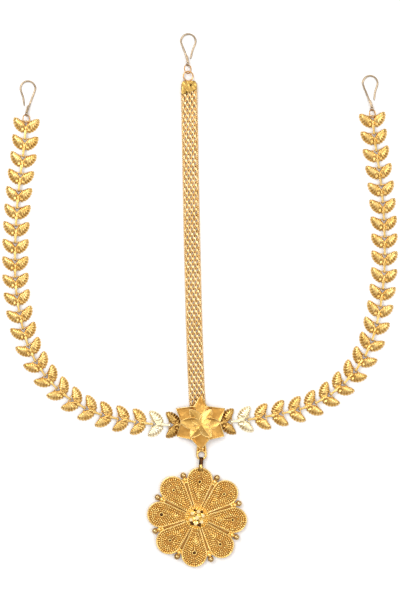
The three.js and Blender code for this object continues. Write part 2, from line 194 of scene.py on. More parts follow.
DENT_WAVES = ((1.9, 0.7, 0.3), (-0.8, 2.1, 1.9), (1.4, -1.7, 4.1), (2.6, 1.8, 2.6))

# Pendant
PENDANT_AT = (-1.5, -40.9)
PENDANT_TURN = -4.3
PETALS = 8
PETAL_ROUND_AT = 15.9
PETAL_ROUND = 5.6
PETAL_ROOT_AT = 4.6
PETAL_ROOT_HALF = 1.85
PLATE_THICK = 0.7
PLATE_INSET = 0.3
DISC_INSET = 1
RIM_WIRE = 0.29
RIM_HIGH = 1.3
FIELD_ROW = 0.78
FIELD_BEAD = 0.42
FIELD_BEAD_STEP = 2.05
FIELD_BEAD_SIZES = (0.75, 1.2)
FIELD_BEAD_SHIFT = 0.14
FIELD_BEAD_SQUASH = 0.65
FIELD_DEEPEST_INSET = 4.4
FIELD_LIFT = 0.28
FIELD_SLOPE = 0.16
VEIN_FROM_ROOT = 2.2
VEIN_TO_ROUND = 1.6
VEIN_STEP = 0.8
EYE_BACK = 0.6
EYE_INSET = 3.6
EYE_UP = 0.1
EYE_COLLAR_WIRE = 0.24
EYE_COLLAR_OUT = 0.23
EYES = (0.55, 0.36, 0.66, 0.4, 0.64, 0.48, 0.42, 0.4)
GRANULE_AT = 19.0
GRANULE_RADIUS = 1.32
NECK_BALLS = ((2.05, 1.1), (3.3, 0.84))
FLOOR_GAP = 0.02
BOSS_RADIUS = 5.4
BOSS_SEAT = 2.0
BOSS_SEAT_INSET = 0.5
BOSS_BEADS = 6
BOSS_BEADS_AT = 2.75
BOSS_BEADS_SINK = 0.05
BOSS_MIDDLE_BEAD = (1.65, 1.4, 8)
BOSS_OUTER_BEAD = (1.35, 1.15, 7)
BOSS_TURN = 22
BOSS_RING_BEADS = 30
BOSS_RING_BEAD = 0.55
BOSS_RING_INSET = 0.6
BOSS_RING_HIGH = 1.8
BOSS_INNER_RING_BEADS = 24
BOSS_INNER_RING_BEAD = 0.5
BOSS_INNER_RING_RADIUS = 4.05
# Dark spots on the boss: painted dark reflections and painted shade among its beads.
BOSS_PITS = ((52, 0.5), (112, 0.45), (-128, 0.8), (-68, 0.8))
BOSS_PITS_AT = 3.3
BOSS_PITS_UP = 0.6
BAIL_AT = 24.82
BAIL_END_AT = 21.0
BAIL_OUTER = 1.05
BAIL_INNER = 0.62
BAIL_WIDTH = 1.7
BAIL_FOOT = ((-0.95, 20.2), (0.95, 20.2), (0.88, 22.5), (0.6, 22.9), (-0.6, 22.9), (-0.88, 22.5))
BAIL_FOOT_HIGH = 2.2

# Photo frame
PHOTO_MM_PER_PX = 0.43
PHOTO_WIDTH_PX = 400
PHOTO_HEIGHT_PX = 600
MOTIF_PX = (200.5, 422.0)
CAMERA_LENS = 100
CAMERA_SENSOR = 36
PICTURE_PLANE_UP = 1.0

# Metal: stops of the colour ramp, spread of the roughness and height of the surface marks in metres
TONE_STOPS = (0.3, 0.65)
POLISH_SPREAD = (0.7, 1.35)
MARK_HEIGHT = 0.0002

# Stage, in metres: each lamp has a place beside the middle of the picture, a size and a power
FLOOR_HALF = 4.0
FLOOR_DROP = 0.00005
FLOOR_TONES = ((0.93, 0.93, 0.93, 1), (0.96, 0.96, 0.96, 1))
DOME_STOPS = ((0.15, (0.22, 0.13, 0.07, 1)), (0.95, (1, 1, 1, 1)))
DOME_STRENGTH = 1.05
LAMPS = (
    ("key_box", (-0.45, 0.35, 0.75), (0.45, 0.45), 3.2),
    ("fill_box", (0.55, -0.1, 0.65), (0.3, 0.6), 1.6),
    ("back_box", (0.05, 0.75, 0.5), (0.7, 0.2), 1.6),
)


# Mesh tools


class Parts:
    """Gathers vertices and faces of several surfaces into one mesh."""

    def __init__(self):
        self.points = []
        self.faces = []
        self.count = 0

    def add(self, points, faces):
        points = np.asarray(points, float)
        self.points.append(points)
        self.faces.extend([tuple(i + self.count for i in face) for face in faces])
        self.count += len(points)
        return self

    def moved(self, matrix, shift):
        for k, points in enumerate(self.points):
            self.points[k] = points @ np.asarray(matrix).T + np.asarray(shift)
        return self

    def extend(self, other):
        for points in other.points:
            self.points.append(points)
        self.faces.extend([tuple(i + self.count for i in face) for face in other.faces])
        self.count += other.count
        return self

    def copy(self):
        twin = Parts()
        twin.points = [p.copy() for p in self.points]
        twin.faces = list(self.faces)
        twin.count = self.count
        return twin


def piece(name, parts, material, node=None, smooth=True):
    """Makes one mesh with its faces turned outward, and sets it in the frame."""
    mesh = bpy.data.meshes.new(name)
    points = np.concatenate(parts.points) * MM
    mesh.from_pydata(points.tolist(), [], parts.faces)
    mesh.validate()
    work = bmesh.new()
    work.from_mesh(mesh)
    bmesh.ops.recalc_face_normals(work, faces=work.faces[:])
    work.to_mesh(mesh)
    work.free()
    mesh.polygons.foreach_set("use_smooth", [smooth] * len(mesh.polygons))
    mesh.update()
    mesh.materials.append(material)
    obj = bpy.data.objects.new(name, mesh)
    bpy.context.scene.collection.objects.link(obj)
    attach(obj, "root")
    if node:
        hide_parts(node)
    return obj


def turn_z(degrees):
    c, s = math.cos(math.radians(degrees)), math.sin(math.radians(degrees))
    return np.array([[c, -s, 0], [s, c, 0], [0, 0, 1]])


def turn_y(degrees):
    c, s = math.cos(math.radians(degrees)), math.sin(math.radians(degrees))
    return np.array([[c, 0, s], [0, 1, 0], [-s, 0, c]])


MIRROR_X = np.diag([-1.0, 1.0, 1.0])


def mirrored(parts):
    twin = parts.copy().moved(MIRROR_X, (0, 0, 0))
    twin.faces = [face[::-1] for face in twin.faces]
    return twin


def grid_faces(rows, columns, wrap_rows=False, wrap_columns=False):
    faces = []
    for i in range(rows if wrap_rows else rows - 1):
        for j in range(columns if wrap_columns else columns - 1):
            a = i * columns + j
            b = i * columns + (j + 1) % columns
            c = ((i + 1) % rows) * columns + (j + 1) % columns
            d = ((i + 1) % rows) * columns + j
            faces.append((a, b, c, d))
    return faces


def tube(path, radius, sides=10, closed=False, flat=1.0):
    """A wire along a path; radius may change along it, and flat squeezes it along Z."""
    path = np.asarray(path, float)
    n = len(path)
    radius = np.broadcast_to(np.asarray(radius, float), (n,))
    if closed:
        along = np.roll(path, -1, 0) - np.roll(path, 1, 0)
    else:
        along = np.gradient(path, axis=0)
    along /= np.linalg.norm(along, axis=1)[:, None]
    up = np.tile(np.array([0.0, 0.0, 1.0]), (n, 1))
    side = np.cross(along, up)
    weak = np.linalg.norm(side, axis=1) < 1e-3
    side[weak] = np.array([1.0, 0.0, 0.0])
    for k in range(1, n):
        if np.dot(side[k], side[k - 1]) < 0:
            side[k] = -side[k]
    side /= np.linalg.norm(side, axis=1)[:, None]
    over = np.cross(side, along)
    angle = np.arange(sides) * 2 * math.pi / sides
    sideways = side[:, None, :] * np.cos(angle)[None, :, None]
    upright = over[:, None, :] * flat * np.sin(angle)[None, :, None]
    points = path[:, None, :] + (sideways + upright) * radius[:, None, None]
    faces = grid_faces(n, sides, wrap_rows=closed, wrap_columns=True)
    parts = Parts()
    if closed:
        return parts.add(points.reshape(-1, 3), faces)
    flat_points = np.concatenate([points.reshape(-1, 3), path[:1], path[-1:]])
    start, end = n * sides, n * sides + 1
    for k in range(sides):
        faces.append((start, (k + 1) % sides, k))
        faces.append((end, (n - 1) * sides + k, (n - 1) * sides + (k + 1) % sides))
    return parts.add(flat_points, faces)


def spline(points, steps):
    """A smooth line through points, with steps places between each two."""
    p = np.asarray(points, float)
    p = np.vstack([2 * p[0] - p[1], p, 2 * p[-1] - p[-2]])
    t = np.linspace(0, 1, steps, endpoint=False)[:, None]
    out = []
    for k in range(1, len(p) - 2):
        a, b, c, d = p[k - 1], p[k], p[k + 1], p[k + 2]
        square = (2 * a - 5 * b + 4 * c - d) * t**2
        cube = (3 * b - a - 3 * c + d) * t**3
        out.append(0.5 * (2 * b + (c - a) * t + square + cube))
    out.append(p[-2][None])
    return np.vstack(out)


def circle(radius, count, z=0.0):
    angle = np.arange(count) * 2 * math.pi / count
    return np.stack([radius * np.cos(angle), radius * np.sin(angle), np.full(count, z)], 1)


def ring(radius, wire, tilt=0.0, sides=10, count=36):
    return tube(circle(radius, count), wire, sides, closed=True).moved(turn_y(tilt), (0, 0, 0))


def ball(radius, centre, around=12, rings=7, squash=1.0):
    lat = np.linspace(-math.pi / 2, math.pi / 2, rings)
    lon = np.arange(around) * 2 * math.pi / around
    x = np.cos(lat)[:, None] * np.cos(lon)[None]
    y = np.cos(lat)[:, None] * np.sin(lon)[None]
    z = np.broadcast_to(np.sin(lat)[:, None], x.shape) * squash
    points = np.stack([x, y, z], 2)[1:-1].reshape(-1, 3) * radius + np.asarray(centre)
    low = np.asarray(centre) - [0, 0, radius * squash]
    high = np.asarray(centre) + [0, 0, radius * squash]
    faces = grid_faces(rings - 2, around, wrap_columns=True)
    south, north = len(points), len(points) + 1
    top = (rings - 3) * around
    for k in range(around):
        faces.append((south, (k + 1) % around, k))
        faces.append((north, top + k, top + (k + 1) % around))
    return Parts().add(np.vstack([points, low, high]), faces)


def plate(top, under):
    """A closed sheet between two grids of points of equal size, with a wall round the edge."""
    rows, columns = top.shape[:2]
    count = rows * columns
    faces = grid_faces(rows, columns)
    faces += [tuple(i + count for i in face[::-1]) for face in grid_faces(rows, columns)]
    edge = [(i, 0) for i in range(rows)] + [(rows - 1, j) for j in range(1, columns)]
    edge += [(i, columns - 1) for i in range(rows - 2, -1, -1)]
    edge += [(0, j) for j in range(columns - 2, 0, -1)]
    index = [i * columns + j for i, j in edge]
    for a, b in zip(index, index[1:] + index[:1]):
        faces.append((b, a, a + count, b + count))
    return Parts().add(np.concatenate([top.reshape(-1, 3), under.reshape(-1, 3)]), faces)


def prism(outline, low, high):
    """A flat body with a convex outline."""
    outline = np.asarray(outline, float)
    n = len(outline)
    points = np.vstack([np.c_[outline, np.full(n, low)], np.c_[outline, np.full(n, high)]])
    faces = [tuple(range(n - 1, -1, -1)), tuple(range(n, 2 * n))]
    faces += [(k, (k + 1) % n, n + (k + 1) % n, n + k) for k in range(n)]
    return Parts().add(points, faces)


# Materials


def gold(name, light, dark, roughness, patch, grain, depth):
    """Gilt metal: a colour that drifts between two tones, uneven polish and fine surface marks."""
    material = bpy.data.materials.new(name)
    material.use_nodes = True
    nodes, links = material.node_tree.nodes, material.node_tree.links
    shader = nodes["Principled BSDF"]
    shader.inputs["Metallic"].default_value = 1.0
    place = nodes.new("ShaderNodeTexCoord")
    drift = nodes.new("ShaderNodeTexNoise")
    drift.inputs["Scale"].default_value = patch
    drift.inputs["Detail"].default_value = 4.0
    links.new(place.outputs["Object"], drift.inputs["Vector"])
    tone = nodes.new("ShaderNodeValToRGB")
    for stop, position, colour in zip(tone.color_ramp.elements, TONE_STOPS, (dark, light)):
        stop.position = position
        stop.color = (*colour, 1)
    links.new(drift.outputs["Fac"], tone.inputs["Fac"])
    links.new(tone.outputs["Color"], shader.inputs["Base Color"])
    marks = nodes.new("ShaderNodeTexNoise")
    marks.inputs["Scale"].default_value = grain
    marks.inputs["Detail"].default_value = 6.0
    links.new(place.outputs["Object"], marks.inputs["Vector"])
    polish = nodes.new("ShaderNodeMapRange")
    polish.inputs["To Min"].default_value = roughness * POLISH_SPREAD[0]
    polish.inputs["To Max"].default_value = roughness * POLISH_SPREAD[1]
    links.new(marks.outputs["Fac"], polish.inputs["Value"])
    links.new(polish.outputs["Result"], shader.inputs["Roughness"])
    bump = nodes.new("ShaderNodeBump")
    bump.inputs["Strength"].default_value = depth
    bump.inputs["Distance"].default_value = MARK_HEIGHT
    links.new(marks.outputs["Fac"], bump.inputs["Height"])
    links.new(bump.outputs["Normal"], shader.inputs["Normal"])
    return material


LEAF_GOLD = gold("leaf_gold", (0.88, 0.61, 0.23), (0.68, 0.40, 0.10), 0.24, 420, 1500, 0.25)
# Lit and shaded copies of leaf_gold: the pale one is a painted highlight and the brown one is painted
# shade, for links that face the light differently.
PAINTED_HIGHLIGHT_LEAF = gold("painted_highlight_leaf", (1.0, 0.93, 0.70), (0.93, 0.80, 0.48), 0.3, 260, 1500, 0.25)
PAINTED_SHADE_LEAF = gold("painted_shade_leaf", (0.64, 0.40, 0.12), (0.44, 0.25, 0.06), 0.26, 260, 1500, 0.25)
LEAF_PAINTED_LIGHT = {23: PAINTED_HIGHLIGHT_LEAF, 24: PAINTED_SHADE_LEAF}
STRAP_GOLD = gold("strap_gold", (0.93, 0.71, 0.39), (0.82, 0.56, 0.24), 0.27, 200, 1800, 0.2)
# A darker copy of strap_gold: painted shade for the back strands and the gaps of the weave.
UNDER_SHADE_GOLD = gold("painted_shade_under_gold", (0.70, 0.41, 0.14), (0.50, 0.27, 0.08), 0.34, 220, 1800, 0.2)
WIRE_GOLD = gold("wire_gold", (0.52, 0.41, 0.28), (0.35, 0.26, 0.16), 0.24, 300, 1600, 0.15)
RING_GOLD = gold("ring_gold", (0.74, 0.45, 0.19), (0.52, 0.28, 0.10), 0.2, 300, 1600, 0.15)
CAP_GOLD = gold("cap_gold", (0.74, 0.50, 0.14), (0.40, 0.21, 0.05), 0.34, 520, 1400, 0.5)
MOTIF_GOLD = gold("motif_gold", (0.80, 0.50, 0.15), (0.58, 0.32, 0.07), 0.33, 240, 1300, 0.5)
STAR_GOLD = gold("star_gold", (0.68, 0.37, 0.09), (0.45, 0.20, 0.035), 0.32, 240, 1300, 0.5)
FILIGREE_GOLD = gold("filigree_gold", (1.0, 0.77, 0.29), (0.88, 0.50, 0.10), 0.3, 900, 1700, 0.3)
# A darker copy of the filigree gold for the base plate: painted shade in the grooves between the
# beads.
GROOVE_SHADE_GOLD = gold("groove_painted_shade", (0.62, 0.32, 0.08), (0.40, 0.18, 0.04), 0.36, 300, 1500, 0.3)
GRANULE_GOLD = gold("granule_gold", (0.68, 0.48, 0.22), (0.44, 0.28, 0.10), 0.18, 300, 1500, 0.2)
RIM_GOLD = gold("rim_gold", (0.97, 0.74, 0.32), (0.88, 0.58, 0.17), 0.25, 240, 1500, 0.2)
# Near-black gold: painted shade, put on dark pieces that stand in for shadowed pits, holes and the
# bail.
PAINTED_SHADE_GOLD = gold("painted_shade_gold", (0.11, 0.045, 0.016), (0.05, 0.02, 0.008), 0.3, 300, 1500, 0.2)
BOSS_GOLD = gold("boss_gold", (1.0, 0.85, 0.50), (0.90, 0.66, 0.26), 0.1, 600, 1500, 0.08)


# Leaf-pair links


def even_steps(line, count):
    """A line taken again at equal steps."""
    run = np.concatenate([[0], np.cumsum(np.linalg.norm(np.diff(line, axis=0), axis=1))])
    at = np.linspace(0, run[-1], count)
    return np.stack([np.interp(at, run, line[:, k]) for k in range(line.shape[1])], 1)


def leaf_surface():
    """Top of the right-hand leaf: from the root to the tip, and from the inner edge to the outer."""
    count = FLUTE_ROWS * FLUTES + 1
    t = np.linspace(0, 1, count)[:, None]
    share = np.linspace(0, 1, LEAF_COLUMNS)[None]
    x, y, radius = LEAF_ARC
    outer = [(0, -LEAF_ROOT_BACK)]
    for degrees in LEAF_ARC_DEGREES:
        a = math.radians(degrees)
        outer.append((x + radius * math.cos(a), y + radius * math.sin(a)))
    outer = even_steps(spline(outer + list(LEAF_TIP_ROUND), 8), count)
    inner = even_steps(spline(LEAF_INNER, 8), count)
    # Flutes and scallops fade out towards the root and the tip.
    rib = np.abs(np.sin(math.pi * FLUTES * t))
    ends = np.clip(np.minimum(t * 9, (1 - t) * 7), 0, 1)
    inward = (inner - outer) / (np.linalg.norm(inner - outer, axis=1)[:, None] + 1e-6)
    outer = outer + inward * SCALLOP * (1 - rib) * ends
    plan = inner[:, None] + (outer - inner)[:, None] * share[..., None]
    inner_high = np.interp(t, *LEAF_INNER_HIGH)
    outer_high = np.interp(t, *LEAF_OUTER_HIGH)
    dome = np.interp(t, *LEAF_DOME)
    edge = np.clip(np.abs(2 * share - 1) * 1.35 - 0.2, 0, 1)
    z = inner_high + (outer_high - inner_high) * share + dome * 4 * share * (1 - share)
    z = z + FLUTE_DEPTH * (rib - 0.7) * edge * ends * np.clip((1 - share) * 7, 0.25, 1)
    pit_along = np.exp(-(((t - ROOT_PIT_AT[0]) / ROOT_PIT_WIDE[0]) ** 2))
    pit_across = np.exp(-(((share - ROOT_PIT_AT[1]) / ROOT_PIT_WIDE[1]) ** 2))
    z = z - ROOT_PIT * pit_along * pit_across
    return np.concatenate([plan, np.maximum(z, LEAF_LOWEST)[..., None]], 2)


def leaf():
    top = leaf_surface()
    under = top - np.array([0, 0, LEAF_SHEET])
    under[..., 2] = np.maximum(under[..., 2], 0.0)
    return plate(top, under)


def tab():
    """The strip that leaves the root of a link and curls round the next link's bar."""
    outline = []
    far = -LINK_PITCH
    middle = TAB_CURL + TAB_SHEET / 2
    for share in np.linspace(0, 1, 10, endpoint=False):
        drop = TAB_DROP * (1 - share) ** 2
        half = TAB_WIDTH * (0.5 + TAB_FLARE * (1 - share) ** 3)
        outline.append((-TAB_ROOT + share * (far + TAB_ROOT), BAR_HEIGHT + middle - drop, half))
    for degrees in np.linspace(*TAB_CURL_DEGREES, 19):
        a = math.radians(degrees)
        place = (far + middle * math.cos(a), BAR_HEIGHT + middle * math.sin(a))
        outline.append((*place, TAB_WIDTH * 0.5))
    line = np.array(outline)
    along = np.gradient(line[:, :2], axis=0)
    along /= np.linalg.norm(along, axis=1)[:, None]
    normal = np.stack([along[:, 1], -along[:, 0]], 1) * TAB_SHEET / 2
    across = np.linspace(-1, 1, 5)
    top = np.zeros((len(line), len(across), 3))
    under = np.zeros_like(top)
    for j, share in enumerate(across):
        top[:, j] = np.c_[share * line[:, 2], line[:, :2] + normal]
        under[:, j] = np.c_[share * line[:, 2], line[:, :2] - normal]
    return plate(top, under)


def link_parts():
    right = leaf()
    parts = Parts().extend(right).extend(mirrored(right)).extend(tab())
    across = np.linspace(-BAR_HALF, BAR_HALF, 7)
    bar = np.stack([across, np.zeros_like(across), np.full_like(across, BAR_HEIGHT)], 1)
    return parts.extend(tube(bar, BAR_RADIUS, 8))


def walk(lay):
    """The bar of each link with its heading, from the motif to the hook end."""
    x, y = lay["lug"]
    steps = []
    for link in range(LINKS_PER_SIDE):
        heading = float(np.interp(link, HEADING_LINKS, lay["headings"]))
        x += LINK_PITCH * math.cos(math.radians(heading))
        y += LINK_PITCH * math.sin(math.radians(heading))
        steps.append((x, y, heading))
    return steps


def build_chain(side):
    pattern = link_parts()
    steps = walk(LAYS[side])
    for index, (x, y, heading) in enumerate(steps):
        number = LINKS_PER_SIDE - index
        name = f"link_{side}_{number:02d}"
        placed = pattern.copy().moved(turn_z(heading - 90), (x, y, 0))
        # Links 23 and 24 take the painted highlight and painted shade copies of the leaf gold.
        obj = piece("leaf_" + name, placed, LEAF_PAINTED_LIGHT.get(number, LEAF_GOLD), name)
    return steps[-1]


# Hooks and rings


def hook_parts(eye_height, side, tilt, up):
    """An open hook from its eye at the origin, with the bow's middle some way up."""
    across, radius = HOOK_BOW_SIDE, HOOK_BOW_RADIUS
    foot_high = eye_height - HOOK_EYE_DIP
    points = [(*HOOK_FOOT, foot_high), (*HOOK_KNEE, HOOK_WIRE + HOOK_KNEE_LIFT)]
    for degrees in HOOK_BOW_DEGREES:
        a = math.radians(degrees)
        points.append((across + radius * math.cos(a), up + radius * math.sin(a), HOOK_WIRE))
    points += [(x, up - drop, HOOK_WIRE) for x, drop in HOOK_TAIL]
    path = spline(points, 8)
    thick = np.full(len(path), HOOK_WIRE)
    thick[-len(HOOK_TIP_TAPER):] = HOOK_WIRE * np.array(HOOK_TIP_TAPER)
    parts = tube(path, thick, 12)
    heights = (foot_high, 0.5 * eye_height + HOOK_STRAND_LIFT, HOOK_WIRE + HOOK_STRAND_LIFT)
    strand = spline([(*place, z) for place, z in zip(HOOK_STRAND, heights)], 6)
    parts.extend(tube(strand, HOOK_STRAND_WIRE, 10))
    eye = ring(EYE_RADIUS, EYE_WIRE, tilt - 90, 10, 28)
    parts.extend(eye.moved(np.eye(3), (0, 0, eye_height)))
    return parts if side > 0 else mirrored(parts)


def build_end(side, end, shank, hook_heading):
    x, y, heading = end
    c, s = math.cos(math.radians(heading)), math.sin(math.radians(heading))
    height = RING_RADIUS * math.sin(math.radians(RING_TILT)) + RING_WIRE
    jump = ring(RING_RADIUS, RING_WIRE, RING_TILT)
    jump.moved(turn_z(heading - 90), (x + RING_OFFSET * c, y + RING_OFFSET * s, height))
    piece(f"jump_ring_{side}", jump, RING_GOLD, f"ring_{side}")
    reach = RING_OFFSET + RING_RADIUS + EYE_LIFT
    parts = hook_parts(height, shank, RING_TILT * shank, HOOK_BOW_UP)
    parts.moved(turn_z(hook_heading - 90), (x + reach * c, y + reach * s, 0))
    piece(f"wire_hook_{side}", parts, WIRE_GOLD, f"hook_{side}")


def build_top():
    height = TOP_RING_RADIUS * math.sin(math.radians(RING_TILT)) + RING_WIRE
    x, y = TOP_RING_AT
    jump = ring(TOP_RING_RADIUS, RING_WIRE, RING_TILT).moved(np.eye(3), (x, y, height))
    piece("jump_ring_top", jump, RING_GOLD, "ring_top")
    parts = hook_parts(height, -1, -RING_TILT, TOP_HOOK_BOW_UP)
    parts.moved(turn_z(TOP_HOOK_TURN), (x, y + TOP_RING_RADIUS + EYE_LIFT, 0))
    piece("wire_hook_top", parts, WIRE_GOLD, "hook_top")


# Strap


def strap_line(t):
    p = np.array(STRAP_LINE)
    t = np.asarray(t, float)[:, None]
    return (1 - t) ** 2 * p[0] + 2 * t * (1 - t) * p[1] + t**2 * p[2]


STRAP_T = np.linspace(0, 1, 801)
STRAP_XY = strap_line(STRAP_T)
STRAP_LENGTH = np.concatenate([[0], np.cumsum(np.linalg.norm(np.diff(STRAP_XY, axis=0), axis=1))])


def on_strap(points):
    """Points given as across, along and height on the strap, put in place."""
    points = np.asarray(points, float)
    t = np.interp(points[:, 1], STRAP_LENGTH, STRAP_T)
    place = strap_line(t)
    place += np.clip(points[:, 1] - STRAP_LENGTH[-1], 0, None)[:, None] * np.array([[0, 1.0]])
    ahead = strap_line(t + 0.002) - strap_line(t - 0.002)
    ahead /= np.linalg.norm(ahead, axis=1)[:, None]
    across = np.stack([ahead[:, 1], -ahead[:, 0]], 1)
    ramp_start = CAP_LOW - STRAP_RAMP_BEFORE_CAP
    share = np.clip((place[:, 1] - ramp_start) / STRAP_RAMP_LENGTH, 0, 1)
    lift = STRAP_LIFT * share**2 * (3 - 2 * share)
    return np.c_[place + across * points[:, :1], points[:, 2] + lift]


def build_strap():
    middle = STRAP_THICK / 2
    half = STRAP_WIDTH / 2 - EDGE_BAND
    rows = int((STRAP_LENGTH[-1] - 2 * STITCH_REACH) / ROW_PITCH)
    weave, under = Parts(), Parts()
    for row in range(rows + 1):
        start = STITCH_REACH + 0.1 + row * ROW_PITCH
        first = (row % 2) * math.pi
        last = first + 4 * math.pi * half / STITCH_PITCH
        for k in range(row % 2, int(math.ceil(last / math.pi))):
            begin = max(k * math.pi - STITCH_OVERLAP, first)
            angle = np.linspace(begin, min((k + 1) * math.pi + STITCH_OVERLAP, last), 13)
            across = -half + STITCH_PITCH * (angle - first) / (2 * math.pi)
            along = start + STITCH_REACH * np.cos(angle)
            path = on_strap(np.stack([across, along, middle + STITCH_RISE * np.sin(angle)], 1))
            if k % 2 == 0:
                weave.extend(tube(path, STITCH_WIRE * (0.78 + 0.36 * np.sin(angle)), 8, flat=0.62))
            else:
                under.extend(tube(path, BACK_STRAND_WIRE, 6, flat=0.7))
        angle = np.linspace(first, last, 57)
        across = half - STITCH_PITCH * (angle - first) / (2 * math.pi)
        along = start + STITCH_REACH * np.cos(angle) + ROW_PITCH / 2
        low = np.stack([across, along, np.full(len(angle), UNDER_HIGH)], 1)
        under.extend(tube(on_strap(low), STITCH_WIRE, 6, flat=0.5))
    piece("strap_weave", weave, STRAP_GOLD, "strap_mesh")
    # The under strands are painted darker than the weave above them: painted shade.
    piece("strap_under", under, UNDER_SHADE_GOLD)
    edges = Parts()
    for side in (-1, 1):
        along = np.arange(0.2, STRAP_LENGTH[-1] - 0.1, ROW_PITCH / 12)
        angle = 2 * math.pi * along / ROW_PITCH * side
        for phase in (0, math.pi):
            across = side * (half + EDGE_OUT) + EDGE_TWIST * np.cos(angle + phase)
            height = middle + EDGE_TWIST * np.sin(angle + phase)
            edges.extend(tube(on_strap(np.stack([across, along, height], 1)), EDGE_WIRE, 6))
    piece("strap_edges", edges, STRAP_GOLD)


def build_cap():
    height = 2 * STRAP_LIFT + STRAP_THICK
    rng = np.random.default_rng(7)
    fold = CAP_HIGH - CAP_FOLD
    line = [(CAP_LOW, 0.0)]
    line += [(y, 0.0) for y in np.linspace(CAP_LOW, fold, 8)[1:]]
    for degrees in np.linspace(-90, 90, 11):
        a = math.radians(degrees)
        line.append((fold + CAP_BULGE * math.cos(a), height / 2 + (height / 2) * math.sin(a)))
    line += [(y, height) for y in np.linspace(fold, CAP_LOW, 10)[1:]]
    line = np.array(line)
    along = np.gradient(line, axis=0)
    along /= np.linalg.norm(along, axis=1)[:, None] + 1e-9
    inward = np.stack([-along[:, 1], along[:, 0]], 1)
    across = np.linspace(-CAP_WIDTH / 2, CAP_WIDTH / 2, 22)
    waves = rng.uniform(0.9, 2.4, (6, 2))
    phases = rng.uniform(0, 6.28, 6)
    outer = np.zeros((len(line), len(across), 3))
    inner = np.zeros_like(outer)
    for j, x in enumerate(across):
        dent = np.zeros(len(line))
        for (fx, fy), ph in zip(waves, phases):
            dent += CAP_DENT * np.abs(np.sin(fx * x + fy * line[:, 0] + ph))
        place = line + inward * dent[:, None]
        near_fold = np.clip((line[:, 0] - CAP_HIGH + CAP_SHOULDER) / CAP_SHOULDER, 0, 1)
        narrow = 1 - CAP_TAPER * near_fold**2
        lower = CAP_LAP * (0.5 - x / CAP_WIDTH) * np.clip((CAP_LOW + 2 - line[:, 0]) / 2, 0, 1)
        place[:, 0] -= np.where(line[:, 1] > height / 2, lower, 0)
        outer[:, j] = np.c_[x * narrow + STRAP_LINE[2][0], place]
        inner[:, j] = np.c_[x * narrow + STRAP_LINE[2][0], place + inward * CAP_SHEET]
    piece("cap_fold", plate(outer, inner), CAP_GOLD, "strap_end_cap")
    # Dark flattened balls sunk in the cap: painted shade standing in for the shade in its pits.
    pits = Parts()
    for x, y, size in CAP_PITS:
        pits.extend(ball(size, (x, y, height - CAP_PIT_SINK), 10, 7, 0.6))
    piece("cap_pits", pits, PAINTED_SHADE_GOLD)
    loop = ring(CAP_LOOP_RADIUS, LOOP_WIRE)
    loop.moved(np.eye(3), (STRAP_LINE[2][0] - CAP_LOOP_SHIFT, CAP_LOOP_Y, height / 2))
    piece("cap_loop", loop, RING_GOLD)


# Motif


def hammered(plan):
    """Shallow dents over a sheet, from a few crossing waves."""
    x, y = plan[..., 0], plan[..., 1]
    return DENT * sum(np.sin(a * x + b * y + c) for a, b, c in DENT_WAVES)


def star_petal(k):
    """One point of the base sheet, from the middle to its tip, with a raised rim and a sunk middle."""
    tip = np.array(STAR_TIPS[k])
    notches = np.array(STAR_NOTCHES[k]), np.array(STAR_NOTCHES[k - 1])
    u = np.linspace(0, 1, PETAL_ROWS)[:, None]
    v = np.linspace(-1, 1, PETAL_COLUMNS)[None]
    low = np.clip(u / STAR_KNEE, 0, 1)[..., None]
    high = np.clip((u - STAR_KNEE) / (1 - STAR_KNEE), 0, 1)[..., None]
    left, right = [notch * low + (tip - notch) * high for notch in notches]
    plan = left * ((1 - v) / 2)[..., None] + right * ((1 + v) / 2)[..., None]
    near_edge = np.clip((np.abs(v) - 0.72) / 0.28, 0, 1)
    rim = near_edge * np.clip((u - 0.3) * 4, 0, 1) * np.clip((1 - u) * 9, 0, 1)
    z = STAR_HIGH - STAR_FALL[0] * u - STAR_FALL[1] * u**2
    z = z + STAR_EDGE_RISE * rim - STAR_SUNK * (1 - np.abs(v)) * np.sin(math.pi * u)
    top = np.concatenate([plan, (z + hammered(plan))[..., None]], 2)
    outward = top[STAR_RIM_FROM_ROW:]
    return plate(top, top - np.array([0, 0, STAR_SHEET])), [outward[:, 0], outward[:, -1]]


def flower_petal(x, y, half_width):
    """One petal of the upper flower: cupped to the sides, creased into a ridge above and below."""
    middle = np.array(FLOWER_MIDDLE)
    along = np.array([x, y]) - middle
    length = np.linalg.norm(along)
    along /= length
    across = np.array([-along[1], along[0]])
    u = np.linspace(0, 1, PETAL_ROWS)[:, None]
    v = np.linspace(-1, 1, PETAL_COLUMNS)[None]
    half = half_width * np.sin(math.pi * u**0.8) ** 0.75
    plan = middle + along * (length * u + 0 * v)[..., None] + across * (half * v)[..., None]
    swell = np.sin(math.pi * u)
    if abs(y) < 1:
        z = CUP_HIGH - CUP_FALL * u + (CUP_EDGE_RISE * np.abs(v) ** 2.5 - CUP_SUNK) * swell
    else:
        z = RIDGE_HIGH - RIDGE_FALL * u - RIDGE_SLOPE * np.abs(v) * swell
        z = z + RIDGE_LIP * np.abs(v) ** 4 * swell
    top = np.concatenate([plan, (z + hammered(plan))[..., None]], 2)
    outward = top[FLOWER_RIM_FROM_ROW:]
    return plate(top, top - np.array([0, 0, FLOWER_SHEET])), [outward[:, 0], outward[:, -1]]


